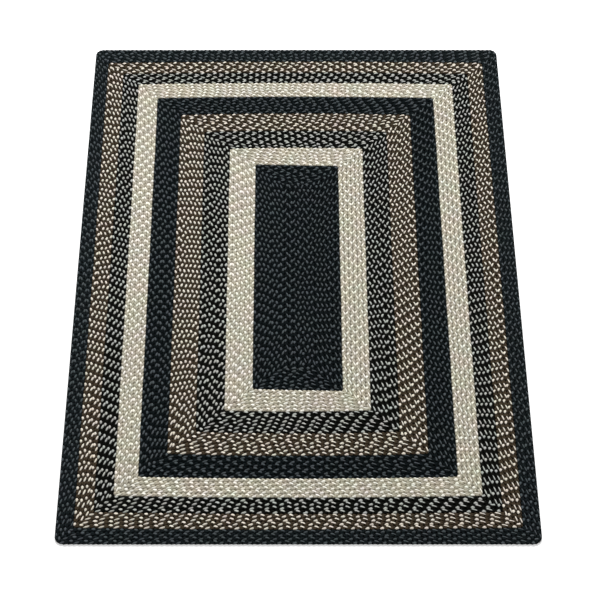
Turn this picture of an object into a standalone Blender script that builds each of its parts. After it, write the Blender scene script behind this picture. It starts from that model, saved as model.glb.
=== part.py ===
"""Rectangular braided rug, lying flat.

The rug is a three-strand braid, 12 mm wide, sewn row to row round a long centre. Each colour is
its own length of braid, so each is its own solid: eight rectangular borders and the centre. Every
braid row is a rib on both faces, and the underside rests on the flat of each rib.

+X runs across the rug, +Y along it to its far end, +Z up. The origin is at the middle of the
rug, on the floor.
"""

import math

import bmesh
import bpy
import numpy as np

MM = 0.001

# Driving dimensions, in metres
RUG_WIDTH = 1.219
RUG_LENGTH = 1.809
ROWS_ACROSS = 102
THICKNESS = 8.0 * MM
SEWING_GAP = 0.3 * MM  # between one length of braid and the next

# Worked out from them
ROW_PITCH = RUG_WIDTH / ROWS_ACROSS
HALF_WIDTH = RUG_WIDTH / 2
HALF_LENGTH = RUG_LENGTH / 2

# The borders from the edge inwards: name, rows of braid, colourway, facets in each corner's bend
BORDERS = (
    ("edge_black", 4, "black", 4),
    ("outer_brown", 4, "brown", 2),
    ("outer_speckled", 4, "speckled", 2),
    ("outer_cream", 5, "cream", 2),
    ("middle_black", 6, "black", 2),
    ("inner_brown", 6, "brown", 2),
    ("inner_speckled", 6, "speckled", 2),
    ("inner_cream", 6, "cream", 2),
)

# The centre: straight rows laid side by side first, then rounds sewn about them
CENTRE_NAME = "centre_black"
CENTRE_COLOURWAY = "black"
CENTRE_ROUNDS = 6
CENTRE_STRAIGHT_ROWS = 8
CENTRE_BEND_FACETS = 2

# One rib in section, as (share of the row's pitch, height), from its outer side inwards
RIB_TOP = ((0.0, 0.66 * THICKNESS), (0.2, 0.92 * THICKNESS), (0.5, THICKNESS), (0.8, 0.92 * THICKNESS))
RIB_UNDER = ((0.0, 0.30 * THICKNESS), (0.26, 0.0), (0.74, 0.0))

# Bend of the braid at a corner: wide at the rug's edge, tight from the first border inwards
EDGE_BEND = 22.0 * MM
ROW_BEND = 6.0 * MM
BEND_ROWS = 4  # the rows over which the bend tightens

# How the sewn rows lie out of true. The rug's edge stays straight.
SIDE_DRIFT = {  # sideways shift of the rows at each corner
    "far_left": -8.0 * MM,
    "near_left": -3.0 * MM,
    "far_right": 1.5 * MM,
    "near_right": 2.5 * MM,
}
ROW_SLIDE = (  # rows in from the edge, and how much nearer than true they lie
    (0, 0.0),
    (4, 5.2 * MM),
    (8, 5.2 * MM),
    (12, 3.0 * MM),
    (41, 2.0 * MM),
)
END_BOW = 6.0 * MM  # the rows at the rug's ends bow outwards in the middle by this much
CENTRE_TILT = 3.5 * MM  # the centre's right side lies this much nearer than its middle
DRIFT_IN_ROWS = 4  # the drift grows over this many rows from the edge
DRIFT_OUT_FROM = 29  # and dies away from this row on
DRIFT_OUT_TO = 41
TILT_FROM = 35
END_CUTS = (0.5, -0.5)  # where the far and near sides are cut to follow the bow

# Colourways: the braid's mean colour as linear RGB, and its roughness
COLOURWAYS = {
    "black": ((0.018, 0.021, 0.024), 0.90),
    "brown": ((0.155, 0.125, 0.098), 0.92),
    "speckled": ((0.060, 0.062, 0.058), 0.90),
    "cream": ((0.520, 0.480, 0.390), 0.92),
}


def clear_scene():
    """Removes every object that a new Blender file starts with."""
    for old in list(bpy.data.objects):
        bpy.data.objects.remove(old)


def braid_material(colourway):
    """The finish of one colourway, made once and shared by the lengths that have it."""
    name = f"{colourway}_braid"
    found = bpy.data.materials.get(name)
    if found:
        return found
    colour, roughness = COLOURWAYS[colourway]
    made = bpy.data.materials.new(name)
    made.use_nodes = True
    shader = made.node_tree.nodes["Principled BSDF"]
    shader.inputs["Base Color"].default_value = (*colour, 1.0)
    shader.inputs["Roughness"].default_value = roughness
    shader.inputs["Metallic"].default_value = 0.0
    return made


def share_between(value, low, high):
    """How far value has gone from low to high, from 0 to 1."""
    return min(1.0, max(0.0, (value - low) / (high - low)))


def settled(x, y, depth):
    """Where a point of an ideal rectangle, depth in from the edge, lies in the sewn rug."""
    rows_in = depth / ROW_PITCH
    u = x / (HALF_WIDTH - depth)
    v = y / (HALF_LENGTH - depth)
    far, near = (1 + v) / 2, (1 - v) / 2
    right, left = (1 + u) / 2, (1 - u) / 2
    sideways = left * (far * SIDE_DRIFT["far_left"] + near * SIDE_DRIFT["near_left"])
    sideways += right * (far * SIDE_DRIFT["far_right"] + near * SIDE_DRIFT["near_right"])
    drift = share_between(rows_in, 0, DRIFT_IN_ROWS)
    drift *= 1 - share_between(rows_in, DRIFT_OUT_FROM, DRIFT_OUT_TO)
    tilt = share_between(rows_in, TILT_FROM, DRIFT_OUT_TO)
    along = -drift * END_BOW * v * u * u - tilt * CENTRE_TILT * u
    along -= np.interp(rows_in, *zip(*ROW_SLIDE))
    return x + drift * sideways, y + along


def bend_radius(depth):
    """Radius of a row's bend at a corner, at this depth in from the edge."""
    return EDGE_BEND + (ROW_BEND - EDGE_BEND) * share_between(depth / ROW_PITCH, 0, BEND_ROWS)


def stations(depth, bend_facets):
    """Points round the rug at one depth, anticlockwise from the far right corner."""
    half_x, half_y = HALF_WIDTH - depth, HALF_LENGTH - depth
    radius = bend_radius(depth)
    corners = ((1, 1, 0), (-1, 1, 90), (-1, -1, 180), (1, -1, 270))  # side of X, side of Y, first angle
    points = []
    for side_x, side_y, first in corners:
        for step in range(bend_facets + 1):
            angle = math.radians(first + 90 * step / bend_facets)
            x = side_x * (half_x - radius) + radius * math.cos(angle)
            y = side_y * (half_y - radius) + radius * math.sin(angle)
            points.append(settled(x, y, depth))
        if side_x == side_y:  # a far or near side follows
            for cut in END_CUTS:
                points.append(settled(side_y * cut * half_x, side_y * half_y, depth))
    return points


def ribs(profile, first_row, rows):
    """The section points of several ribs side by side, as (depth, height)."""
    return [
        ((first_row + row + share) * ROW_PITCH, height)
        for row in range(rows)
        for share, height in profile
    ]


def border_section(first_row, rows):
    """A border's closed section: over the top from outside to inside, and back underneath."""
    outer = first_row * ROW_PITCH
    inner = (first_row + rows) * ROW_PITCH
    half_gap = SEWING_GAP / 2
    outer_gap = half_gap if first_row else 0.0
    top = ribs(RIB_TOP, first_row, rows) + [(inner - half_gap, RIB_TOP[0][1])]
    under = ribs(RIB_UNDER, first_row, rows) + [(inner - half_gap, RIB_UNDER[0][1])]
    top[0] = (outer + outer_gap, RIB_TOP[0][1])
    under[0] = (outer + outer_gap, RIB_UNDER[0][1])
    return top + under[::-1]


def ring_of(bm, depth, height, bend_facets):
    """A closed ring of points at one depth and height."""
    return [bm.verts.new((x, y, height)) for x, y in stations(depth, bend_facets)]


def skin_between(bm, outer, inner):
    """Faces between two rings that have the same number of points."""
    count = len(outer)
    for i in range(count):
        j = (i + 1) % count
        bm.faces.new((outer[i], outer[j], inner[j], inner[i]))


def finished_object(bm, name, colourway):
    """Turns the mesh's faces outwards and makes it a named object with its finish."""
    bmesh.ops.recalc_face_normals(bm, faces=bm.faces)
    mesh = bpy.data.meshes.new(name)
    bm.to_mesh(mesh)
    bm.free()
    mesh.materials.append(braid_material(colourway))
    made = bpy.data.objects.new(name, mesh)
    bpy.context.scene.collection.objects.link(made)
    return made


def make_border(name, first_row, rows, colourway, bend_facets):
    """One length of braid wound round the rug, its rows sewn side by side."""
    bm = bmesh.new()
    section = border_section(first_row, rows)
    rings = [ring_of(bm, depth, height, bend_facets) for depth, height in section]
    for i, ring in enumerate(rings):
        skin_between(bm, ring, rings[(i + 1) % len(rings)])
    return finished_object(bm, name, colourway)


def make_centre_face(bm, outer_ring, profile, first_row):
    """One face of the centre: its rounds from the outer ring inwards, then the straight rows."""
    rounds = ribs(profile, first_row, CENTRE_ROUNDS)[1:]
    ring = outer_ring
    for depth, height in rounds:
        inner = ring_of(bm, depth, height, CENTRE_BEND_FACETS)
        skin_between(bm, ring, inner)
        ring = inner
    close_with_straight_rows(bm, ring, profile, first_row + CENTRE_ROUNDS)


def close_with_straight_rows(bm, ring, profile, rows_in):
    """Fills the last ring with straight ribs that slope down to the valley at both ends."""
    depth = rows_in * ROW_PITCH
    half_x, half_y = HALF_WIDTH - depth, HALF_LENGTH - depth
    valley = profile[0][1]
    across = [(-half_x + s - depth, z) for s, z in ribs(profile, rows_in, CENTRE_STRAIGHT_ROWS)]
    across.append((half_x, valley))
    full_height = half_y - ROW_PITCH / 2  # the ribs slope down over their last half row
    lines = []
    for y, raised in ((half_y, False), (full_height, True), (-full_height, True), (-half_y, False)):
        line = []
        for x, height in across:
            place = settled(x, y, depth)
            line.append(bm.verts.new((*place, height if raised else valley)))
        lines.append(line)
    for line, following in zip(lines, lines[1:]):
        for i in range(len(line) - 1):
            bm.faces.new((line[i], line[i + 1], following[i + 1], following[i]))
    join_ring_to_rows(bm, ring, lines)


def join_ring_to_rows(bm, ring, lines):
    """Faces from the last ring to the straight rows' outline, one for each side and corner."""
    per_corner = CENTRE_BEND_FACETS + 1
    cuts = len(END_CUTS)
    far_right = ring[:per_corner]
    far_cuts = ring[per_corner : per_corner + cuts]
    rest = ring[per_corner + cuts :]
    far_left, near_left = rest[:per_corner], rest[per_corner : 2 * per_corner]
    near_cuts = rest[2 * per_corner : 2 * per_corner + cuts]
    near_right = rest[2 * per_corner + cuts :]
    far_line, near_line = lines[0], lines[-1]
    left_line = [line[0] for line in lines]
    right_line = [line[-1] for line in lines]
    for bend, corner in (
        (far_right, far_line[-1]),
        (far_left, far_line[0]),
        (near_left, near_line[0]),
        (near_right, near_line[-1]),
    ):
        for a, b in zip(bend, bend[1:]):
            bm.faces.new((a, b, corner))
    bm.faces.new([far_right[-1], *far_cuts, far_left[0], *far_line])
    bm.faces.new([near_left[-1], *near_cuts, near_right[0], *near_line[::-1]])
    bm.faces.new([far_left[-1], near_left[0], *left_line[::-1]])
    bm.faces.new([near_right[-1], far_right[0], *right_line])


def make_centre(first_row):
    """The centre: straight rows with rounds of the same braid sewn about them."""
    bm = bmesh.new()
    outer = first_row * ROW_PITCH + SEWING_GAP / 2
    top_ring = ring_of(bm, outer, RIB_TOP[0][1], CENTRE_BEND_FACETS)
    under_ring = ring_of(bm, outer, RIB_UNDER[0][1], CENTRE_BEND_FACETS)
    skin_between(bm, top_ring, under_ring)
    make_centre_face(bm, top_ring, RIB_TOP, first_row)
    make_centre_face(bm, under_ring, RIB_UNDER, first_row)
    return finished_object(bm, CENTRE_NAME, CENTRE_COLOURWAY)


def main():
    clear_scene()
    row = 0
    for name, rows, colourway, bend_facets in BORDERS:
        make_border(name, row, rows, colourway, bend_facets)
        row += rows
    make_centre(row)


main()
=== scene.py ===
"""Rectangular braided rug on a pale floor, seen from above its near end.

Each row of the rug is a flat braid of three thick yarns, plaited all the way round and laid where the
frame has a rib. A row starts as a flat grid, as long as the row and as wide as the braid is round. Its
points are moved to the lobes and valleys of the plait, and it is rolled up and laid round the rug. The
rows of one colour are one length of braid, joined into one piece that stands for that colour's node.
"""

import math

import bpy
import numpy as np
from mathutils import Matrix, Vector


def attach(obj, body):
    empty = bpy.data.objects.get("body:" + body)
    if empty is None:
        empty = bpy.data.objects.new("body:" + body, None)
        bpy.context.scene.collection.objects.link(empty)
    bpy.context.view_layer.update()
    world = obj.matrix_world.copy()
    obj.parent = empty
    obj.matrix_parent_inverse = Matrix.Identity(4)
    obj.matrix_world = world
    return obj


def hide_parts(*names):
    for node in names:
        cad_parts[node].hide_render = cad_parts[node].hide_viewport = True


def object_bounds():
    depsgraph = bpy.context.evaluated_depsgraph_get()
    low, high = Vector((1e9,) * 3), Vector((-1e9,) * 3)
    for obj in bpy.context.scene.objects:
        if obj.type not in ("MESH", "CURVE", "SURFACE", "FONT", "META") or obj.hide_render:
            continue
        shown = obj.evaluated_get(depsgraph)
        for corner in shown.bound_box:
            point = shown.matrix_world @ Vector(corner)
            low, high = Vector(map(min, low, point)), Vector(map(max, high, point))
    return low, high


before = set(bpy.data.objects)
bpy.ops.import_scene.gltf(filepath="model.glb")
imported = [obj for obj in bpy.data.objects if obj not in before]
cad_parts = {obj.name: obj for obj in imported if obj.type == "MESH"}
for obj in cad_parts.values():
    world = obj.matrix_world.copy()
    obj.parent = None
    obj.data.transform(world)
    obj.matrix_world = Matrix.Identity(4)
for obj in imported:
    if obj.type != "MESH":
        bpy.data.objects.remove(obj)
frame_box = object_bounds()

MM = 0.001
SEED = 20

# The rug's size, from the frame
RUG_WIDTH = frame_box[1].x - frame_box[0].x
RUG_LENGTH = frame_box[1].y - frame_box[0].y
THICKNESS = frame_box[1].z - frame_box[0].z
HALF_WIDTH = RUG_WIDTH / 2
HALF_LENGTH = RUG_LENGTH / 2

ROWS_ACROSS = 102
ROW_PITCH = RUG_WIDTH / ROWS_ACROSS

# How it is made, as in the frame. The borders from the edge inwards: name, rows of braid, colourway,
# and how far the plait moves on from one row to the next, as a share of a strand's turn
BORDERS = (
    ("edge_black", 4, "black", 0.58),
    ("outer_brown", 4, "brown", 0.20),
    ("outer_speckled", 4, "speckled", 0.20),
    ("outer_cream", 5, "cream", -0.38),
    ("middle_black", 6, "black", -0.45),
    ("inner_brown", 6, "brown", 0.10),
    ("inner_speckled", 6, "speckled", 0.18),
    ("inner_cream", 6, "cream", -0.18),
)
CENTRE_NAME = "centre_black"
CENTRE_COLOURWAY = "black"
CENTRE_ROUNDS = 6
CENTRE_MOVES_ON = 0.30
CENTRE_STRAIGHT_ROWS = 8

# Bend of the braid at a corner: the edge's, and that of the rows further in than BEND_ROWS
EDGE_BEND = 22.0 * MM
ROW_BEND = 6.0 * MM
BEND_ROWS = 4
TURN_BEND = 0.3 * MM  # where a straight row of the centre turns back
LEAST_BEND = 0.05 * MM  # a row's inner edge never turns tighter than this
HALF_CORNER = math.radians(45)

# How the sewn rows lie out of true, as in the frame. The sides lean sideways, to the right if above 0
SIDE_DRIFT = {
    "far_left": -8.0 * MM,
    "near_left": -3.0 * MM,
    "far_right": 1.5 * MM,
    "near_right": 2.5 * MM,
}
ROW_SLIDE = (  # rows in from the edge, and how much nearer than true they lie
    (0, 0.0),
    (4, 5.2 * MM),
    (8, 5.2 * MM),
    (12, 3.0 * MM),
    (41, 2.0 * MM),
)
END_BOW = 6.0 * MM  # how far the ends' middles stand out past their corners
CENTRE_TILT = 3.5 * MM  # how much nearer the centre's right side lies, and how much further its left
# The rows in from the edge by which the lean and the bow are full, and between which they die away
DRIFT_IN_ROWS = 4
DRIFT_OUT_FROM = 29
DRIFT_OUT_TO = 41
TILT_FROM = 35  # rows in from the edge where the tilt sets in

# The plait. A strand takes six steps to cross the braid and come back; a step is half a lobe.
STRANDS = 3
STEPS = 2 * STRANDS
STRAND_TURN = 37.0 * MM  # along the braid, from one lobe of a strand to the same strand's next
# Points round the section, from the outer edge over the top to the inner edge, and back below
SECTION_POINTS = 16
TOP_MIDDLE = 4
INNER_EDGE = 8
UNDER_MIDDLE = 12
FACE_CORNERS = 4
# Half of the upper face, a row for each level from the braid's edge to its middle: distance from the
# middle in mm, height in mm, and steps behind the lobe's tip
EDGE = 0
MIDDLE = 4
CROWN_LINE = np.array(  # along the crown of a lobe
    (
        (6.15, 4.8, 1.12),
        (5.6, 6.6, 0.98),
        (4.3, 7.6, 0.76),
        (2.5, 8.0, 0.44),
        (0.0, 6.7, 0.0),
    )
)
VALLEY_LINE = np.array(  # along the valley before it
    (
        (6.05, 4.0, 1.22),
        (4.7, 4.2, 1.03),
        (3.3, 4.6, 0.80),
        (1.9, 4.9, 0.54),
        (0.0, 6.7, 0.0),
    )
)
EDGE_BEHIND = 1.2  # steps that the edge is behind the tip: the underside is as far behind the edge
TIP_REACH = 1.4 * MM  # how far a lobe's tip passes the braid's middle
ROW_PRESS = 0.2 * MM  # how far the two rows of a pair in the centre press into each other at most
END_PRESS = 1.5 * MM  # how far their turns press into the round about them, so no floor shows there
MERGE_DISTANCE = 0.001 * MM  # far less than the plait's smallest step
# The rounded top of a strand in its lobe: where its middle is, its slant to the braid and its size.
# Round it the colour gives way to painted crease shade
TOP_BEHIND = 3.6  # mm behind the lobe's tip
TOP_OUT = 2.9  # mm out from the braid's middle
TOP_SLANT = math.radians(20)
TOP_HALF_LENGTH = 6.7  # mm
TOP_HALF_WIDTH = 3.9  # mm

# Handwork: how far the lobes and rows stray
LOBE_STRAY = {"along": 0.5 * MM, "across": 0.2 * MM, "height": 0.3 * MM}
TENSION_STRAY = 0.045  # share by which the plait is looser or tighter
TENSION_WAVES = (1.8, 0.9, 0.5, 0.3)  # m over which it goes from loose to tight and back
LEAST_SWING = 0.4  # of the full swing of the tension in one wave
JOINT_REACH = 160 * MM  # to each side of a row's joint, by its near left corner
SHIFT_STRAY = 0.16  # share of a strand's turn by which a row's step from the last one strays
ROW_STRAY = 0.5 * MM  # gentle waver of the rows
WAVER_IN_ROWS = 2  # rows in from the edge by which the waver is full
# Slow waves of the waver: radians for each metre across and along the rug, and radians at its middle
WAVES_ACROSS = ((31, 17, 0), (-9, 47, 1.3))
WAVES_ALONG = ((43, -11, 0.7), (19, 29, 0))

# Camera and light, in metres, degrees and watts
CAMERA_PLACE = (-0.0279, -3.8768, 4.3964)
CAMERA_TILT = 40.682  # up from straight down
CAMERA_LENS = 126.72  # mm
CAMERA_SHIFT = 0.0214  # of the picture's width
LAMP_AWAY = 8.0
LAMP_TILT = 40.0  # from overhead towards the far end
LAMP_WIDTH = 3.5
LAMP_POWER = 650.0
ROOM_GLOW = 0.5  # strength of the white light from all round
FLOOR_GLOW = 0.35  # and of the floor's own
FLOOR_SIZE = 60.0


def share_between(value, low, high):
    """How far value has gone from low to high, from 0 to 1."""
    return np.clip((value - low) / (high - low), 0.0, 1.0)


def settled(x, y, depth):
    """Where a point of an ideal rectangle, depth in from the edge, lies in the sewn rug."""
    rows_in = depth / ROW_PITCH
    u = x / (HALF_WIDTH - depth)
    v = y / (HALF_LENGTH - depth)
    far, near = (1 + v) / 2, (1 - v) / 2
    right, left = (1 + u) / 2, (1 - u) / 2
    sideways = left * (far * SIDE_DRIFT["far_left"] + near * SIDE_DRIFT["near_left"])
    sideways += right * (far * SIDE_DRIFT["far_right"] + near * SIDE_DRIFT["near_right"])
    drift = share_between(rows_in, 0, DRIFT_IN_ROWS)
    drift = drift * (1 - share_between(rows_in, DRIFT_OUT_FROM, DRIFT_OUT_TO))
    tilt = share_between(rows_in, TILT_FROM, DRIFT_OUT_TO)
    along = -drift * END_BOW * v * u * u - tilt * CENTRE_TILT * u
    along = along - np.interp(rows_in, *zip(*ROW_SLIDE))
    return x + drift * sideways, y + along


def bend_radius(depth):
    """Radius of a row's bend at a corner, at this depth in from the edge."""
    return EDGE_BEND + (ROW_BEND - EDGE_BEND) * share_between(depth / ROW_PITCH, 0, BEND_ROWS)


def wave_sum(waves, x, y):
    """Sum of slow waves at a place on the rug."""
    return sum(np.sin(x * across + y * along + start) for across, along, start in waves)


def wavered(x, y, depth):
    """The slow waver of hand-sewn rows, which dies away at the rug's edge."""
    inside = share_between(depth / ROW_PITCH, 0, WAVER_IN_ROWS) * ROW_STRAY
    over = inside * wave_sum(WAVES_ACROSS, x, y) / len(WAVES_ACROSS)
    along = inside * wave_sum(WAVES_ALONG, x, y) / len(WAVES_ALONG)
    return x + over, y + along


def ring_place(along, across, half_x, half_y, bend):
    """Place on a rectangular ring that runs anticlockwise from the middle of its near side.

    along is the distance round the ring's middle line, and across how far inside that line a point
    is. Points that are level across the ring keep their share of the side, so corners are mitred.
    """
    # The near side counts twice: its right half comes first, and its left half last
    ends = np.cumsum((half_x, 2 * half_y, 2 * half_x, 2 * half_y, half_x))
    along = np.mod(along, ends[-1])
    side = np.minimum(np.searchsorted(ends, along, side="right"), len(ends) - 1)
    run_half = np.where(side % 2 == 0, half_x, half_y)
    out_half = np.where(side % 2 == 0, half_y, half_x)
    middles = np.array((0, half_x + half_y, 2 * half_x + 2 * half_y, 3 * half_x + 3 * half_y, ends[-1]))
    share = (along - middles[side]) / run_half
    run_half = np.maximum(run_half - across, -ROW_PRESS)
    out_half = np.maximum(out_half - across, -ROW_PRESS)
    bend = np.maximum(np.minimum(bend, np.minimum(run_half, out_half)), LEAST_BEND)
    to_corner = (1 - np.abs(share)) * run_half
    turn = HALF_CORNER * (1 - np.clip(to_corner / bend, 0, 1))
    bent = to_corner < bend
    run = np.where(bent, np.sign(share) * (run_half - bend + bend * np.sin(turn)), share * run_half)
    out = np.where(bent, out_half - bend + bend * np.cos(turn), out_half)
    heading = np.array(((1, 0), (0, 1), (-1, 0), (0, -1), (1, 0)))[side]
    outward = np.array(((0, -1), (1, 0), (0, 1), (-1, 0), (0, -1)))[side]
    place = heading * run[..., None] + outward * out[..., None]
    return place[..., 0], place[..., 1]


def plait_grid(turns):
    """Station along the braid and point round its section, for each point of a rolled-up grid."""
    station, point = np.meshgrid(np.arange(STEPS * turns + 1), np.arange(SECTION_POINTS + 1))
    return station % (STEPS * turns), point % SECTION_POINTS


def level_of(point):
    """Level of a point round the section, from EDGE to MIDDLE."""
    return MIDDLE - np.abs(MIDDLE - point % INNER_EDGE)


def plait_points(turns, length, joint, start, rng):
    """The plait's points for a closed row: distance along, distance across and height.

    Lobes on the outer half have their crowns at odd stations and those on the inner half at even
    ones, which is how three strands lie when they are plaited flat. The plait is eased a little
    about the row's joint, where its two ends have to meet.
    """
    count = STEPS * turns
    station, point = plait_grid(turns)
    odd = station % 2 == 1
    level = level_of(point)
    inner = (point > TOP_MIDDLE) & (point < UNDER_MIDDLE)
    half = np.where(level == MIDDLE, 0, np.where(inner, 1, -1))
    crowned = np.where(half == 1, ~odd, odd)
    line = np.where(crowned[..., None], CROWN_LINE[level], VALLEY_LINE[level])
    across = half * line[..., 0] * MM + (level == MIDDLE) * np.where(odd, TIP_REACH, -TIP_REACH)
    height = line[..., 1] * MM
    behind = line[..., 2]
    stray = rng.uniform(-1, 1, (3, 3, count))[:, half, station]
    across = across + stray[0] * LOBE_STRAY["across"] * (level != EDGE)
    height = height + stray[1] * LOBE_STRAY["height"] * (level != EDGE)
    under = point > INNER_EDGE
    height = np.where(under, np.maximum(THICKNESS - height, 0.0), height)
    behind = np.where(under, 2 * EDGE_BEHIND - behind, behind)
    along = (station - behind) / STEPS * STRAND_TURN + stray[2] * LOBE_STRAY["along"]
    eased = share_between(along, joint - JOINT_REACH, joint + JOINT_REACH)
    along = along + (length - turns * STRAND_TURN) * eased * eased * (3 - 2 * eased)
    for wave_length in TENSION_WAVES:
        waves = max(1, round(length / wave_length))
        swing = TENSION_STRAY / 2 * length / (2 * math.pi * waves) * rng.uniform(LEAST_SWING, 1.0)
        along = along + swing * np.sin(2 * math.pi * (waves * along / length + rng.uniform()))
    return along + start * STRAND_TURN, across, height


def mark_lobes(mesh, turns, rng):
    """Gives each face its strand's yarn, its lobe's tone and its place along and across the strand."""
    count = STEPS * turns
    point, station = np.divmod(np.arange(len(mesh.polygons)), count)
    outer = (point < TOP_MIDDLE) | (point >= UNDER_MIDDLE)
    crown = np.where((station % 2 == 1) == outer, station, station + 1) % count
    yarn = np.where(crown % STRANDS == 0, 0, 1)
    mesh.polygons.foreach_set("material_index", yarn.astype(np.int32))
    tones = rng.uniform(0, 1, count)[crown]
    mesh.attributes.new("lobe", "INT", "FACE").data.foreach_set("value", crown.astype(np.int32))
    mesh.attributes.new("tone", "FLOAT", "FACE").data.foreach_set("value", tones.astype(np.float32))

    vertex = np.zeros(len(mesh.loops), np.int32)
    mesh.loops.foreach_get("vertex_index", vertex)
    at_station, at_point = (grid.ravel()[vertex] for grid in plait_grid(turns))
    at_crown = np.repeat(crown, FACE_CORNERS)
    crowned = at_station == at_crown
    level = level_of(at_point)
    line = np.where(crowned[:, None], CROWN_LINE[level], VALLEY_LINE[level])
    tip = (level == MIDDLE) * np.where(crowned, -TIP_REACH, TIP_REACH) / MM
    out = line[:, 0] + tip - TOP_OUT
    before = at_crown == np.repeat(station, FACE_CORNERS)
    stations_off = np.where(crowned, 0, np.where(before, 1, -1))
    ahead = (stations_off - line[:, 2]) * STRAND_TURN / STEPS / MM + TOP_BEHIND
    along = ahead * math.cos(TOP_SLANT) - out * math.sin(TOP_SLANT)
    beside = ahead * math.sin(TOP_SLANT) + out * math.cos(TOP_SLANT)
    uv = np.stack((along, beside), -1)
    mesh.uv_layers.new(name="strand").data.foreach_set("uv", uv.astype(np.float32).ravel())


def roll_up():
    """Closes the active grid's edges on each other, and creases it where one lobe meets another."""
    bpy.ops.object.mode_set(mode="EDIT")
    bpy.ops.mesh.select_all(action="SELECT")
    bpy.ops.mesh.remove_doubles(threshold=MERGE_DISTANCE)
    bpy.ops.mesh.faces_shade_smooth()
    bpy.ops.object.mode_set(mode="OBJECT")
    mesh = bpy.context.object.data
    edge = np.zeros(len(mesh.loops), np.int32)
    lobe = np.zeros(len(mesh.polygons), np.int32)
    mesh.loops.foreach_get("edge_index", edge)
    mesh.attributes["lobe"].data.foreach_get("value", lobe)
    # An edge of the closed row lies between two faces. Sorted by edge, their lobes come in pairs
    by_edge = np.argsort(edge, kind="stable")
    beside = np.repeat(lobe, FACE_CORNERS)[by_edge].reshape(-1, 2)
    mesh.edges.foreach_set("use_edge_sharp", beside[:, 0] != beside[:, 1])
    mesh.attributes.remove(mesh.attributes["lobe"])


def add_row(name, half_x, half_y, centre_x, depth, core, start, rng, yarns):
    """One closed row of braid, half_x and half_y from its centre line's middle to its sides.

    A core row is one of the centre's straight pairs: it turns back sharply, and it settles as the
    rug does at one depth. Any other row bends and settles by how far in each of its points is.
    """
    length = 4 * (half_x + half_y)
    turns = round(length / STRAND_TURN)
    bpy.ops.object.select_all(action="DESELECT")
    bpy.ops.mesh.primitive_grid_add(
        x_subdivisions=STEPS * turns, y_subdivisions=SECTION_POINTS, size=1.0, calc_uvs=False
    )
    row = bpy.context.object
    row.name = name
    along, across, height = plait_points(turns, length, length - half_x - JOINT_REACH, start, rng)
    if core:
        x, y = ring_place(along, across, half_x, half_y, TURN_BEND)
        lies_at = np.full_like(x, depth)
    else:
        lies_at = depth + across
        x, y = ring_place(along, across, half_x, half_y, bend_radius(lies_at))
    x, y = settled(x + centre_x, y, lies_at)
    x, y = wavered(x, y, lies_at)
    places = np.stack((x, y, height), -1)
    row.data.vertices.foreach_set("co", places.astype(np.float32).ravel())
    for yarn in yarns:
        row.data.materials.append(yarn)
    mark_lobes(row.data, turns, rng)
    roll_up()
    return row, length


def finish_length(name, rows):
    """Joins the rows of one colour into one piece, which stands for that colour's node."""
    bpy.ops.object.select_all(action="DESELECT")
    for row, _ in rows:
        row.select_set(True)
    piece = rows[0][0]
    bpy.context.view_layer.objects.active = piece
    bpy.ops.object.join()
    piece.name = f"{name}_plait"
    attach(piece, "root")
    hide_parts(name)


def linear(hex_colour):
    """An sRGB hex colour as linear RGBA."""
    channels = [int(hex_colour[i : i + 2], 16) / 255 for i in (1, 3, 5)]
    return (*[c / 12.92 if c <= 0.04045 else ((c + 0.055) / 1.055) ** 2.4 for c in channels], 1.0)


def add_node(tree, kind, inputs=None, **settings):
    """Adds a node. Its inputs, by name or number, are plain values or sockets to link from."""
    node = tree.nodes.new(kind)
    for name, value in settings.items():
        setattr(node, name, value)
    for key, value in (inputs or {}).items():
        if isinstance(value, bpy.types.NodeSocket):
            tree.links.new(value, node.inputs[key])
        else:
            node.inputs[key].default_value = value
    return node


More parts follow.
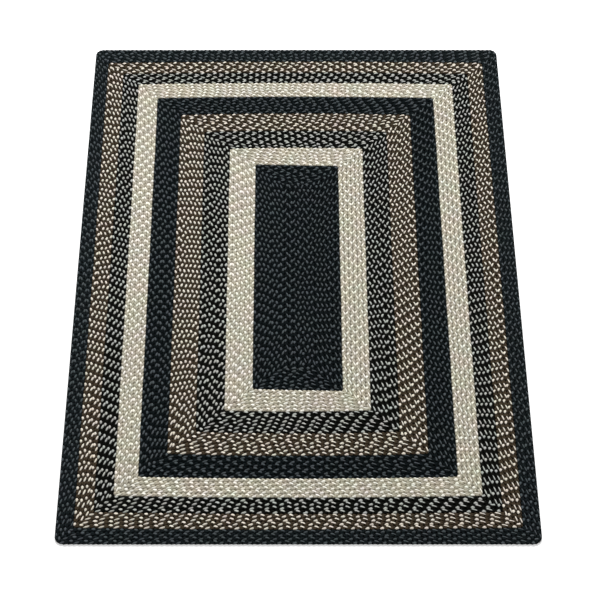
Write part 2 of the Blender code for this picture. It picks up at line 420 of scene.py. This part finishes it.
def spun_yarn(name, shade, crown):
    """Loose-spun jute and cotton yarn: dull, hairy, with the plies showing as fine lines.

    shade is painted shade: the colour given between the fibres and in the creases between strands,
    where the yarn lies in shadow;
    crown is the colour of the fibres on top, which catch the light. Uneven dyeing drifts a little to
    all sides of them.
    """
    ply_width = 1.8  # mm between the plies' lines
    ply_share = 0.35  # of the plies in the relief, where the fibres have 1
    relief_range = (0.2, 0.9)  # what the two together mostly lie between
    fibre = (0.12, 1.3)  # streaks for each mm along and across: 8 mm long and 0.8 mm wide
    fibre_sets = 40.0  # how far apart two lobes' streaks may be in the noise, so none look the same
    top_rim = 1.05  # half sizes of the strand's top from its middle, where the crown's colour ends in painted shade
    top_flat = 0.6  # and where it is full
    least_light = 0.4  # share of the crown's colour deep between the fibres, darkened there by painted shade
    tone_share = 0.3  # by which one lobe may be lighter than another
    dye_patch = 0.05  # m
    dye_drift = 0.08  # share by which each primary colour may stray
    twist_depth = 0.4 * MM
    twist_strength = 0.5
    dome_height = 1.2 * MM  # the strand's own roundness, over what the mesh has

    made = bpy.data.materials.new(name)
    made.use_nodes = True
    tree = made.node_tree
    shader = tree.nodes["Principled BSDF"]
    strand = add_node(tree, "ShaderNodeUVMap", uv_map="strand").outputs["UV"]
    place = add_node(tree, "ShaderNodeTexCoord").outputs["Object"]
    tone = add_node(tree, "ShaderNodeAttribute", attribute_name="tone").outputs["Fac"]
    round_top = (1 / TOP_HALF_LENGTH, 1 / TOP_HALF_WIDTH, 1.0)
    off_top = add_node(tree, "ShaderNodeMapping", {"Vector": strand, "Scale": round_top})
    away = add_node(
        tree, "ShaderNodeVectorMath", {0: off_top.outputs[0]}, operation="LENGTH"
    ).outputs["Value"]
    # Painted shade: away from the strand's top the colour goes over to the shade colour, as in a crease
    # in shadow
    painted_crease_shade = add_node(
        tree,
        "ShaderNodeMapRange",
        {"Value": away, "From Min": top_rim, "From Max": top_flat},
        interpolation_type="SMOOTHSTEP",
    )
    own_fibres = add_node(tree, "ShaderNodeMath", {0: tone, 1: fibre_sets}, operation="MULTIPLY")
    stretched = add_node(tree, "ShaderNodeMapping", {"Vector": strand, "Scale": (*fibre, 1.0)})
    streaks = add_node(
        tree,
        "ShaderNodeTexNoise",
        {"Vector": stretched.outputs[0], "W": own_fibres.outputs[0], "Scale": 1.0, "Detail": 2.0},
        noise_dimensions="4D",
    ).outputs["Fac"]
    plies = add_node(
        tree,
        "ShaderNodeTexWave",
        {"Vector": strand, "Scale": math.pi / (10 * ply_width), "Distortion": 0.6, "Detail": 0.0},
        bands_direction="Y",
    ).outputs["Fac"]
    dye = add_node(
        tree, "ShaderNodeTexNoise", {"Vector": place, "Scale": 1 / dye_patch, "Detail": 2.0}
    ).outputs["Color"]
    squared = add_node(tree, "ShaderNodeMath", {0: away, 1: 2.0}, operation="POWER")
    dome = add_node(tree, "ShaderNodeMath", {0: 1.0, 1: squared.outputs[0]}, operation="SUBTRACT")
    relief = add_node(
        tree, "ShaderNodeMath", {0: plies, 1: ply_share, 2: streaks}, operation="MULTIPLY_ADD"
    )
    # The fibre relief: its streaks vary the colour as the fibres do, and its low parts and ply lines
    # get painted shade
    lit = add_node(
        tree,
        "ShaderNodeMapRange",
        {
            "Value": relief.outputs[0],
            "From Min": relief_range[0],
            "From Max": relief_range[1],
            "To Min": least_light,
            "To Max": 1.0,
        },
    )
    toned = add_node(
        tree, "ShaderNodeMath", {0: tone, 1: tone_share, 2: lit.outputs[0]}, operation="MULTIPLY_ADD"
    )
    # Painted crease shade, with each lobe's tone and the fibre relief, as the share of the crown's
    # colour
    tone_and_painted_shade = add_node(
        tree, "ShaderNodeMath", {0: toned.outputs[0], 1: painted_crease_shade.outputs[0]}, operation="MULTIPLY"
    )
    # Sockets that share a name with another are given by number
    body = add_node(
        tree,
        "ShaderNodeMix",
        {0: tone_and_painted_shade.outputs[0], 6: linear(shade), 7: linear(crown)},
        data_type="RGBA",
        clamp_factor=True,
    )
    patches = add_node(
        tree,
        "ShaderNodeMapRange",
        {"Vector": dye, 9: [1 - dye_drift] * 3, 10: [1 + dye_drift] * 3},
        data_type="FLOAT_VECTOR",
    )
    dyed = add_node(
        tree,
        "ShaderNodeMix",
        {0: 1.0, 6: body.outputs[2], 7: patches.outputs["Vector"]},
        data_type="RGBA",
        blend_type="MULTIPLY",
    )
    twist = add_node(
        tree,
        "ShaderNodeBump",
        {"Height": relief.outputs[0], "Strength": twist_strength, "Distance": twist_depth},
    )
    raised = add_node(
        tree,
        "ShaderNodeBump",
        {
            "Height": dome.outputs[0],
            "Normal": twist.outputs[0],
            "Strength": 1.0,
            "Distance": dome_height,
        },
    )
    tree.links.new(dyed.outputs[2], shader.inputs["Base Color"])
    tree.links.new(raised.outputs[0], shader.inputs["Normal"])
    shader.inputs["Roughness"].default_value = 0.9
    shader.inputs["Specular IOR Level"].default_value = 0.04
    return made


def make_yarns():
    """The yarns of each colourway: the one light strand, then the two dark ones. Each is given its
    painted shade first and its colour on top second.

    The rug's edge has its own black, painted a little lighter for the light that its rows catch.
    """
    charcoal = spun_yarn("charcoal_spun_yarn", "#050606", "#50575a")
    return {
        # the edge's black, painted lighter for the light on the edge rows
        "edge_black": (charcoal, spun_yarn("edge_black_painted_light_yarn", "#040505", "#181f21")),
        "black": (charcoal, spun_yarn("black_spun_yarn", "#020303", "#0f1618")),
        "brown": (
            spun_yarn("cream_spun_yarn", "#3c3427", "#ebe3d5"),
            spun_yarn("dark_brown_spun_yarn", "#0d0a06", "#453b2e"),
        ),
        "speckled": (
            spun_yarn("pale_grey_spun_yarn", "#141510", "#bdbfb9"),
            spun_yarn("warm_black_spun_yarn", "#020201", "#10110e"),
        ),
        "cream": (
            spun_yarn("natural_spun_yarn", "#b4ad9b", "#fffcf1"),
            spun_yarn("oatmeal_spun_yarn", "#827b69", "#bcb6a5"),
        ),
    }


def make_straight_rows(rows_in, rng, yarns):
    """The straight rows that the rug starts from, laid up and back in pairs."""
    depth = rows_in * ROW_PITCH
    made = []
    for pair in range(CENTRE_STRAIGHT_ROWS // 2):
        row = add_row(
            name=f"straight_{pair}",
            half_x=ROW_PITCH / 2,
            half_y=HALF_LENGTH - depth - ROW_PITCH / 2 + END_PRESS,
            centre_x=(2 * pair + 1 - CENTRE_STRAIGHT_ROWS / 2) * ROW_PITCH,
            depth=depth,
            core=True,
            start=rng.uniform(),
            rng=rng,
            yarns=yarns,
        )
        made.append(row)
    return made


def make_rug():
    """All rows from the edge inwards, each colour's rows as one piece."""
    rng = np.random.default_rng(SEED)
    yarns = make_yarns()
    rows_in = 0
    start = 0.0
    centre = (CENTRE_NAME, CENTRE_ROUNDS, CENTRE_COLOURWAY, CENTRE_MOVES_ON)
    for name, rows, colourway, moves_on in (*BORDERS, centre):
        made = []
        for number in range(rows_in, rows_in + rows):
            depth = (number + 0.5) * ROW_PITCH
            start += moves_on + rng.uniform(-SHIFT_STRAY, SHIFT_STRAY)
            row = add_row(
                name=f"row_{number}",
                half_x=HALF_WIDTH - depth,
                half_y=HALF_LENGTH - depth,
                centre_x=0.0,
                depth=depth,
                core=False,
                start=start,
                rng=rng,
                yarns=yarns.get(name, yarns[colourway]),
            )
            made.append(row)
        rows_in += rows
        if name == CENTRE_NAME:
            made += make_straight_rows(rows_in, rng, yarns[colourway])
        finish_length(name, made)


def make_floor():
    """A wide matt white floor that glows a little, as a lit studio table does, to soften shadows."""
    bpy.ops.object.select_all(action="DESELECT")
    bpy.ops.mesh.primitive_plane_add(size=FLOOR_SIZE, location=(0, 0, 0))
    floor = bpy.context.object
    floor.name = "floor"
    matt = bpy.data.materials.new("matt_white_floor")
    matt.use_nodes = True
    shader = matt.node_tree.nodes["Principled BSDF"]
    shader.inputs["Base Color"].default_value = linear("#f4f4f4")
    shader.inputs["Roughness"].default_value = 0.9
    shader.inputs["Specular IOR Level"].default_value = 0.0
    shader.inputs["Emission Color"].default_value = linear("#ffffff")
    shader.inputs["Emission Strength"].default_value = FLOOR_GLOW
    floor.data.materials.append(matt)


def make_light():
    """A wide soft lamp, high up beyond the rug's far end, and even white light from all round."""
    scene = bpy.context.scene
    scene.view_settings.view_transform = "Standard"
    world = bpy.data.worlds.new("pale_room")
    world.use_nodes = True
    scene.world = world
    world.node_tree.nodes["Background"].inputs["Color"].default_value = (1, 1, 1, 1)
    world.node_tree.nodes["Background"].inputs["Strength"].default_value = ROOM_GLOW
    lamp = bpy.data.lights.new("soft_lamp", "AREA")
    lamp.shape = "DISK"
    lamp.size = LAMP_WIDTH
    lamp.energy = LAMP_POWER
    holder = bpy.data.objects.new("soft_lamp", lamp)
    scene.collection.objects.link(holder)
    tilt = math.radians(LAMP_TILT)
    holder.location = (0, LAMP_AWAY * math.sin(tilt), LAMP_AWAY * math.cos(tilt))
    holder.rotation_euler = (-tilt, 0, 0)
    holder.visible_camera = False


def make_camera():
    """The photograph's view: from beyond the near end, looking down on the rug at a steep slant."""
    lens = bpy.data.cameras.new("camera")
    lens.lens = CAMERA_LENS
    lens.shift_x = CAMERA_SHIFT
    camera = bpy.data.objects.new("camera", lens)
    bpy.context.scene.collection.objects.link(camera)
    camera.location = CAMERA_PLACE
    camera.rotation_euler = (math.radians(CAMERA_TILT), 0, 0)
    bpy.context.scene.camera = camera


make_camera()
make_light()
make_floor()
make_rug()
